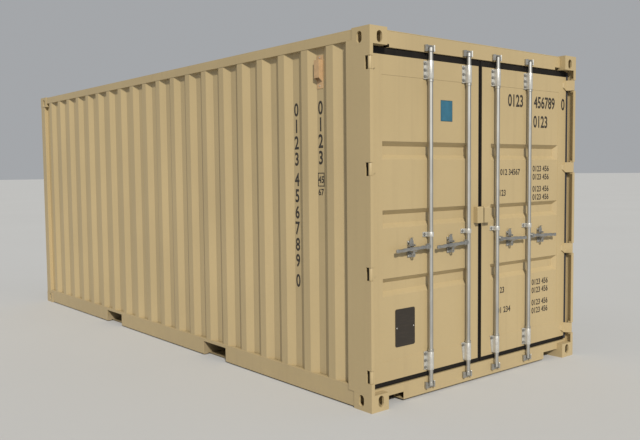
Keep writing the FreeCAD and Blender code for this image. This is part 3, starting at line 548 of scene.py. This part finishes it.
def done_editing(piece):
    """Leaves edit mode with every face pointing out."""
    bpy.ops.mesh.select_all(action="SELECT")
    bpy.ops.mesh.normals_make_consistent(inside=False)
    bpy.ops.object.mode_set(mode="OBJECT")


def bolt_head(radius, height):
    """A chamfered hexagon head on a washer, standing up along Z from the origin."""
    select_none()
    washer = height * WASHER
    bpy.ops.mesh.primitive_cylinder_add(vertices=6, radius=radius, depth=height - washer,
                                        location=(0, 0, (height + washer) / 2))
    piece = bpy.context.object
    bpy.ops.object.transform_apply(location=True, rotation=True, scale=True)
    edit_faces(piece, lambda centre, normal: normal.z > SQUARE_ON)
    bpy.ops.mesh.inset(thickness=radius * CHAMFER_IN)
    bpy.ops.transform.translate(value=(0, 0, height * CHAMFER_UP))
    bpy.ops.mesh.select_all(action="DESELECT")
    bpy.ops.mesh.primitive_cylinder_add(vertices=14, radius=radius * WASHER_WIDE, depth=washer,
                                        location=(0, 0, washer / 2))
    done_editing(piece)
    return piece


def rivet_head(radius):
    """A domed head, standing up along Z from the origin."""
    select_none()
    rim = radius * RIVET_RIM
    bpy.ops.mesh.primitive_cylinder_add(vertices=12, radius=radius, depth=rim,
                                        location=(0, 0, rim / 2))
    piece = bpy.context.object
    bpy.ops.object.transform_apply(location=True, rotation=True, scale=True)
    edit_faces(piece, lambda centre, normal: normal.z > SQUARE_ON)
    for inwards, upwards in RIVET_DOME:
        bpy.ops.mesh.inset(thickness=radius * inwards)
        bpy.ops.transform.translate(value=(0, 0, radius * upwards))
    done_editing(piece)
    return piece


def placed(facing, place):
    """A frame that stands a piece on a wall at a place."""
    return Matrix.Translation(place) @ facing.to_4x4()


def scatter(master, frames, name, body, material):
    """Copies a piece to every frame, each with its own mesh, and joins the copies."""
    copies = []
    for frame_at in frames:
        twin = master.copy()
        twin.data = master.data.copy()
        bpy.context.scene.collection.objects.link(twin)
        twin.matrix_world = frame_at
        copies.append(twin)
    select_only(*copies)
    if len(copies) > 1:
        bpy.ops.object.join()
    return settle(bpy.context.object, name, body, material)


def discard(piece):
    """Removes a master piece once its copies are made."""
    mesh = piece.data
    bpy.data.objects.remove(piece)
    bpy.data.meshes.remove(mesh)


def figures(words, height, narrow):
    """Stencil figures as a flat mesh, centred on the origin and facing up."""
    select_none()
    bpy.ops.object.text_add(location=(0, 0, 0))
    piece = bpy.context.object
    piece.data.body = words
    piece.data.bevel_depth = STROKE
    piece.data.bevel_resolution = 0
    piece.data.resolution_u = 4
    piece.data.align_x = "CENTER"
    piece.data.align_y = "CENTER"
    bpy.ops.object.convert(target="MESH")
    piece = bpy.context.object
    lows = [min(v.co[i] for v in piece.data.vertices) for i in range(2)]
    highs = [max(v.co[i] for v in piece.data.vertices) for i in range(2)]
    wide, tall = highs[0] - lows[0], highs[1] - lows[1]
    piece.location = (0, 0, 0)
    if len(words) > 1:
        squeeze = height * narrow * len(words) / wide
    else:
        squeeze = height / tall * ONE_NARROW
    shift = Matrix.Translation((-(lows[0] + highs[0]) / 2, -(lows[1] + highs[1]) / 2, 0))
    piece.matrix_world = Matrix.Diagonal((squeeze, height / tall, FILM, 1)) @ shift
    bpy.ops.object.transform_apply(location=True, rotation=True, scale=True)
    return piece


def stencil(lines, name, body, material):
    """Lines of (words, height, narrowness, frame), joined into one painted mark."""
    pieces = []
    for words, height, narrow, frame_at in lines:
        piece = figures(words, height, narrow)
        piece.matrix_world = frame_at
        pieces.append(piece)
    select_only(*pieces)
    bpy.ops.object.join()
    return settle(bpy.context.object, name, body, material)


# ---------------------------------------------------------------- operators
class CONTAINER_OT_coat_nodes(bpy.types.Operator):
    """Paint, galvanise and otherwise finish every piece of the frame"""
    bl_idname = "container.coat_nodes"
    bl_label = "Finish the frame's pieces"

    def execute(self, context):
        paint = context.scene.container_paint
        shell = shell_paint(paint)
        under = shell_paint(paint, "under_paint", dark=0.6, dirt=0.9)
        metal = zinc(paint)
        zinc(paint, "bolt_zinc", dark=0.42)
        tube = bar_zinc(paint)
        forged = zinc(paint, "forged_zinc", dark=0.72, metal=0.95)
        rubber = seal_rubber(paint)
        wood = floor_wood(paint)
        plastic = vent_plastic(paint)
        plate = plate_dark(paint)
        stencil_paint(paint)
        label_blue(paint)
        kinds = {"painted_steel": shell, "galvanised_steel": metal, "seal_rubber": rubber,
                 "floor_plywood": wood, "vent_plastic": plastic, "plate_metal": plate}
        for part in frame["record"]["subparts"]:
            coat(part["node"], kinds[part["material_slot"]])
        for name in BARS:
            coat("locking_bar_" + name, tube)
            coat("catch_" + name, forged)
        for node in ("cam_keepers", "handle_retainers_left", "handle_retainers_right"):
            coat(node, forged)
        for node in ("cross_members", "fork_pockets"):
            coat(node, under)
        edge = context.scene.container_gear.edge
        for node in SOFTENED:
            soften(node, edge)
        for node in FINE_GEAR:
            soften(node, edge * FINE_EDGE)
        return {"FINISHED"}


class CONTAINER_OT_bearing_bolts(bpy.types.Operator):
    """Bolt the bar bearings and guides to the doors"""
    bl_idname = "container.bearing_bolts"
    bl_label = "Bearing bolts"

    def execute(self, context):
        gear = context.scene.container_gear
        head = bolt_head(gear.bolt, gear.head)
        metal = finish_named("bolt_zinc")
        foot = DOOR_FACE - FOOT_T
        for door in ("door_left", "door_right"):
            frames = []
            for name, bar in BARS.items():
                if DOOR_OF[name] != door:
                    continue
                spots = [(s * gear.bolt_out, z) for s in (-1, 1) for z in TOP_BOLTS]
                low = LOW_BOLTS[-1:] if name in "23" else LOW_BOLTS
                spots += [(s * gear.bolt_out, z) for s in (-1, 1) for z in low]
                spots.append((GUIDE_BOLT[0], GUIDE_BOLT[1]))
                frames += [placed(FACING_DOOR, (bar.x + dx, foot, z)) for dx, z in spots]
            scatter(head, frames, "bearing_bolts_" + door, door, metal)
        discard(head)
        return {"FINISHED"}


class CONTAINER_OT_rivets(bpy.types.Operator):
    """Rivet the handle retainers and the data plate, and screw the vents on"""
    bl_idname = "container.rivets"
    bl_label = "Rivets and screws"

    def execute(self, context):
        gear = context.scene.container_gear
        metal = finish_named("galvanised_zinc")
        rivet = rivet_head(gear.rivet)
        for door in ("door_left", "door_right"):
            frames = []
            for name in BARS:
                if DOOR_OF[name] == door:
                    x = JOINTS["catch_%s_flip" % name]["pos_m"][0]
                    frames += [placed(FACING_DOOR, (x + dx, DOOR_FACE - FOOT_T, z))
                               for dx in RETAINER_ACROSS for z in RETAINER_UP]
            scatter(rivet, frames, "retainer_rivets_" + door, door, metal)
        low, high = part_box("data_plate")
        for name, finish, levels in (
                ("plate_rivets", metal, ((low[2] + high[2]) / 2,)),
                ("plate_corner_rivets", finish_named("dark_plate"),
                 (low[2] + PLATE_INSET, high[2] - PLATE_INSET))):
            across = (low[0] + PLATE_INSET, high[0] - PLATE_INSET)
            spots = [(x, z) for x in across for z in levels]
            scatter(rivet, [placed(FACING_DOOR, (x, low[1], z)) for x, z in spots],
                    name, "door_left", finish)
        low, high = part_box("vents")
        middle = (low[1] + high[1]) / 2
        frames = []
        for facing, side in ((FACING_LEFT, -1), (FACING_RIGHT, 1)):
            x = side * (high[0] - VENT_PLATE_IN)
            frames += [placed(facing, (x, middle, z))
                       for z in (low[2] + VENT_SCREW_UP, high[2] - VENT_SCREW_DOWN)]
        scatter(rivet, frames, "vent_screws", "container", metal)
        discard(rivet)
        return {"FINISHED"}


class CONTAINER_OT_side_figures(bpy.types.Operator):
    """Stencil columns of counting figures in the side walls' recesses"""
    bl_idname = "container.side_figures"
    bl_label = "Figures on the sides"

    def execute(self, context):
        marks = context.scene.container_marks
        dark = finish_named("stencil_paint")
        for wall, facing, side in (("left", FACING_LEFT, -1), ("right", FACING_RIGHT, 1)):
            low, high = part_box("side_wall_" + wall)
            centre = (low[1] + high[1]) / 2
            x = side * (RIGHT - WALL_IN - RECESS + marks.proud)
            first = centre - RIB_PITCH * RIBS_TO_FIRST
            second = first + RIB_PITCH
            lines = [(words, marks.tall, marks.narrow, placed(facing, (x, second, z)))
                     for words, z in zip(COUNT_DOWN, COLUMN_Z)]
            lines += [(words, marks.tall, marks.narrow, placed(facing, (x, first, z)))
                      for words, z in zip("0123", SHORT_COLUMN_Z)]
            lines += [(words, marks.small, BOX_NARROW, placed(facing, (x, first, z)))
                      for words, z in (("45", BOX_MARK_Z), ("67", UNDER_MARK_Z))]
            stencil(lines, "side_figures_" + wall, "container", dark)
            self.ring(placed(facing, (x, first, BOX_MARK_Z)), "figure_box_" + wall, dark)
        return {"FINISHED"}

    def ring(self, frame_at, name, material):
        """A painted rectangular outline."""
        select_none()
        bpy.ops.mesh.primitive_plane_add(size=1.0)
        piece = bpy.context.object
        piece.scale = (*BOX_MARK, 1.0)
        bpy.ops.object.transform_apply(location=True, rotation=True, scale=True)
        edit_faces(piece, lambda centre, normal: True)
        bpy.ops.mesh.inset(thickness=BOX_LINE)
        bpy.ops.mesh.delete(type="FACE")
        bpy.ops.object.mode_set(mode="OBJECT")
        piece.matrix_world = frame_at
        settle(piece, name, "container", material)


class CONTAINER_OT_door_figures(bpy.types.Operator):
    """Stencil rows of counting figures on the right door"""
    bl_idname = "container.door_figures"
    bl_label = "Figures on the right door"

    def execute(self, context):
        marks = context.scene.container_marks
        y = DOOR_FACE + PANEL_BACK - marks.proud
        sizes = {"L": (marks.tall, marks.narrow), "S": (marks.small, ROW_NARROW)}
        lines = [(words, *sizes[size], placed(FACING_DOOR, (x, y, z)))
                 for words, size, x, z in DOOR_ROWS]
        stile = (DOOR_LAST[0], DOOR_FACE - marks.proud, DOOR_LAST[1])
        lines.append(("0", marks.tall, marks.narrow, placed(FACING_DOOR, stile)))
        stencil(lines, "door_figures", "door_right", finish_named("stencil_paint"))
        return {"FINISHED"}


class CONTAINER_OT_seal_lips(bpy.types.Operator):
    """Extend each door's seal with a lip that closes the gap at its hinges"""
    bl_idname = "container.seal_lips"
    bl_label = "Hinge side seal lips"

    def execute(self, context):
        low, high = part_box("door_seal_left")
        for door, side in (("door_left", -1), ("door_right", 1)):
            select_none()
            bpy.ops.mesh.primitive_cube_add(size=1.0)
            piece = context.object
            inner, outer = LIP_ACROSS
            piece.scale = (outer - inner, LIP_THICK, high[2] - low[2] - 2 * LIP_SHORT)
            piece.location = (side * (inner + outer) / 2, DOOR_FACE + LIP_BACK,
                              (low[2] + high[2]) / 2)
            bpy.ops.object.transform_apply(location=True, rotation=True, scale=True)
            edit_faces(piece, lambda centre, normal: normal.x * side > SQUARE_ON)
            bpy.ops.mesh.extrude_region_move(TRANSFORM_OT_translate={
                "value": (side * LIP_CURL, -LIP_CURL, 0)})
            bpy.ops.transform.resize(value=(1, 0.5, 1))
            done_editing(piece)
            settle(piece, "seal_lip_" + door, door, finish_named("seal_rubber"))
        return {"FINISHED"}


class CONTAINER_OT_label(bpy.types.Operator):
    """Stick a plain blue label on the left door"""
    bl_idname = "container.label"
    bl_label = "Plain label"

    def execute(self, context):
        marks = context.scene.container_marks
        select_none()
        bpy.ops.mesh.primitive_plane_add(size=1.0)
        piece = context.object
        piece.scale = (*LABEL_SIZE, 1.0)
        bpy.ops.object.transform_apply(location=True, rotation=True, scale=True)
        edit_faces(piece, lambda centre, normal: True)
        bpy.ops.mesh.inset(thickness=LABEL_EDGE)
        bpy.ops.transform.translate(value=(0, 0, marks.proud))
        bpy.ops.mesh.select_all(action="SELECT")
        bpy.ops.mesh.bevel(offset=LABEL_CORNER, segments=3, affect="VERTICES")
        bpy.ops.object.mode_set(mode="OBJECT")
        y = DOOR_FACE + PANEL_BACK - marks.proud
        piece.matrix_world = placed(FACING_DOOR, (LABEL_AT[0], y, LABEL_AT[1]))
        settle(piece, "plain_label", "door_left", finish_named("label_blue"))
        return {"FINISHED"}


class CONTAINER_OT_handles(bpy.types.Operator):
    """Forge the four door handles"""
    bl_idname = "container.handles"
    bl_label = "Door handles"

    def execute(self, context):
        for name in BARS:
            pivot = Vector(JOINTS["handle_%s_lift" % name]["pos_m"])
            side = -1.0 if name in "12" else 1.0
            piece = self.forging(side)
            piece.matrix_world = Matrix.Translation(pivot)
            settle(piece, "forged_handle_" + name, "handle_" + name,
                   finish_named("forged_zinc"))
            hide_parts("handle_" + name)
        return {"FINISHED"}

    def forging(self, side):
        """A drop-forged lever that runs along X from its eye, with swells and a twist."""
        select_none()
        start = HANDLE_STATIONS[0]
        bpy.ops.mesh.primitive_cube_add(size=1.0)
        piece = bpy.context.object
        piece.scale = (HANDLE_ROOT, start[2], start[1])
        piece.location = (side * (start[0] - HANDLE_ROOT / 2), 0, start[3])
        bpy.ops.object.transform_apply(location=True, rotation=True, scale=True)
        edit_faces(piece, lambda centre, normal: normal.x * side > SQUARE_ON)
        last = start
        for station in HANDLE_STATIONS[1:]:
            step = (side * (station[0] - last[0]), 0, station[3] - last[3])
            bpy.ops.mesh.extrude_region_move(TRANSFORM_OT_translate={"value": step})
            middle = (side * station[0], 0, station[3])
            bpy.ops.transform.resize(value=(1, station[2] / last[2], station[1] / last[1]),
                                     center_override=middle)
            last = station
        done_editing(piece)
        for angle, x in HANDLE_TWISTS:
            edit_faces(piece, lambda centre, normal: False)
            mesh = bmesh.from_edit_mesh(piece.data)
            for vert in mesh.verts:
                vert.select_set(abs(abs(vert.co.x) - x) < AT_STATION)
            mesh.select_flush_mode()
            bmesh.update_edit_mesh(piece.data)
            bpy.ops.transform.rotate(value=angle, orient_axis="X",
                                     center_override=(side * x, 0, -x * HANDLE_FALL))
            bpy.ops.object.mode_set(mode="OBJECT")
        worn = piece.modifiers.new("worn", "BEVEL")
        worn.width = HANDLE_WORN
        worn.segments = 2
        worn.angle_limit = SMOOTH_BELOW
        select_only(piece)
        bpy.ops.object.modifier_apply(modifier="worn")
        eye = self.eye()
        select_only(piece, eye)
        bpy.ops.object.join()
        bpy.ops.object.shade_smooth_by_angle(angle=SMOOTH_BELOW)
        return bpy.context.object

    def eye(self):
        """The round boss, its bolt head in front and the nut behind."""
        select_none()
        turn = (math.radians(90.0), 0, 0)
        bpy.ops.mesh.primitive_cylinder_add(vertices=28, radius=BOSS_RADIUS,
                                            depth=BOSS_DEPTH, rotation=turn)
        boss = bpy.context.object
        bpy.ops.object.transform_apply(location=True, rotation=True, scale=True)
        edit_faces(boss, lambda centre, normal: abs(normal.y) > SQUARE_ON)
        bpy.ops.mesh.inset(thickness=BOSS_RIM)
        bpy.ops.transform.resize(value=(1, 1.15, 1))
        done_editing(boss)
        parts = [boss]
        for radius, depth, y, sides in BOSS_BOLT:
            select_none()
            bpy.ops.mesh.primitive_cylinder_add(vertices=sides, radius=radius, depth=depth,
                                                location=(0, y, 0), rotation=turn)
            part = bpy.context.object
            bpy.ops.object.transform_apply(location=True, rotation=True, scale=True)
            edit_faces(part, lambda centre, normal: abs(normal.y) > SQUARE_ON)
            bpy.ops.mesh.inset(thickness=radius * 0.15)
            done_editing(part)
            parts.append(part)
        select_only(*parts)
        bpy.ops.object.join()
        return bpy.context.object


class CONTAINER_OT_stage(bpy.types.Operator):
    """Lay the floor, hang the lights and set the camera"""
    bl_idname = "container.stage"
    bl_label = "Stage"

    def execute(self, context):
        stage = context.scene.container_stage
        select_none()
        bpy.ops.mesh.primitive_plane_add(size=FLOOR_SIZE, location=(0.0, 0.0, 0.0))
        floor = context.object
        floor.name = "studio_floor"
        f = Finish("studio_floor")
        shade = f.noise(3.0, detail=2.0)
        floor.data.materials.append(f.set(
            Base_Color=f.blend(shade, STUDIO_DARK, STUDIO_LIGHT), Roughness=0.9))
        world = bpy.data.worlds.new("studio")
        world.use_nodes = True
        back = world.node_tree.nodes["Background"]
        back.inputs["Color"].default_value = SKY_COLOUR
        back.inputs["Strength"].default_value = stage.sky
        context.scene.world = world
        self.sun(context, "key_light", stage.sun)
        self.camera(context, stage)
        context.scene.view_settings.view_transform = "Standard"
        return {"FINISHED"}

    def sun(self, context, name, strength):
        """A broad, even key light, high on the left of the doors."""
        light = bpy.data.lights.new(name, "SUN")
        light.energy = strength
        light.angle = SUN_SPREAD
        light.color = SUN_COLOUR
        lamp = bpy.data.objects.new(name, light)
        lamp.rotation_euler = Vector(SUN_FROM).to_track_quat("Z", "Y").to_euler()
        context.scene.collection.objects.link(lamp)

    def camera(self, context, stage):
        """Aims a camera from its heading, tilt and roll."""
        lens = bpy.data.cameras.new("view")
        lens.sensor_width = SENSOR
        lens.lens = stage.lens
        lens.clip_end = FAR
        camera = bpy.data.objects.new("view", lens)
        ahead = Vector((math.sin(stage.heading) * math.cos(stage.tilt),
                        math.cos(stage.heading) * math.cos(stage.tilt), math.sin(stage.tilt)))
        side = ahead.cross(Vector((0, 0, 1))).normalized()
        up = side.cross(ahead)
        across = side * math.cos(stage.roll) + up * math.sin(stage.roll)
        upward = ahead.cross(across) * -1.0
        turn = Matrix((across, upward, -ahead)).transposed()
        camera.matrix_world = Matrix.Translation(stage.eye) @ turn.to_4x4()
        context.scene.collection.objects.link(camera)
        context.scene.camera = camera


OPERATORS = (CONTAINER_OT_coat_nodes, CONTAINER_OT_bearing_bolts, CONTAINER_OT_rivets,
             CONTAINER_OT_handles, CONTAINER_OT_side_figures, CONTAINER_OT_door_figures,
             CONTAINER_OT_label, CONTAINER_OT_seal_lips, CONTAINER_OT_stage)


class CONTAINER_PT_panel(bpy.types.Panel):
    """Lists the steps that finish the container"""
    bl_label = "Freight container"
    bl_idname = "CONTAINER_PT_panel"
    bl_space_type = "VIEW_3D"
    bl_region_type = "UI"
    bl_category = "Container"

    def draw(self, context):
        for operator in OPERATORS:
            self.layout.operator(operator.bl_idname)


CLASSES = (PaintSettings, GearSettings, MarkSettings, StageSettings, *OPERATORS,
           CONTAINER_PT_panel)


def register():
    """Registers the classes and gives each scene the four groups of settings."""
    for cls in CLASSES:
        bpy.utils.register_class(cls)
    bpy.types.Scene.container_paint = PointerProperty(type=PaintSettings)
    bpy.types.Scene.container_gear = PointerProperty(type=GearSettings)
    bpy.types.Scene.container_marks = PointerProperty(type=MarkSettings)
    bpy.types.Scene.container_stage = PointerProperty(type=StageSettings)


def unregister():
    """Takes all of it away again."""
    del bpy.types.Scene.container_stage
    del bpy.types.Scene.container_marks
    del bpy.types.Scene.container_gear
    del bpy.types.Scene.container_paint
    for cls in reversed(CLASSES):
        bpy.utils.unregister_class(cls)


def main():
    """Runs every step in order."""
    register()
    for operator in OPERATORS:
        getattr(bpy.ops.container, operator.bl_idname.split(".")[1])()


if __name__ == "__main__":
    main()
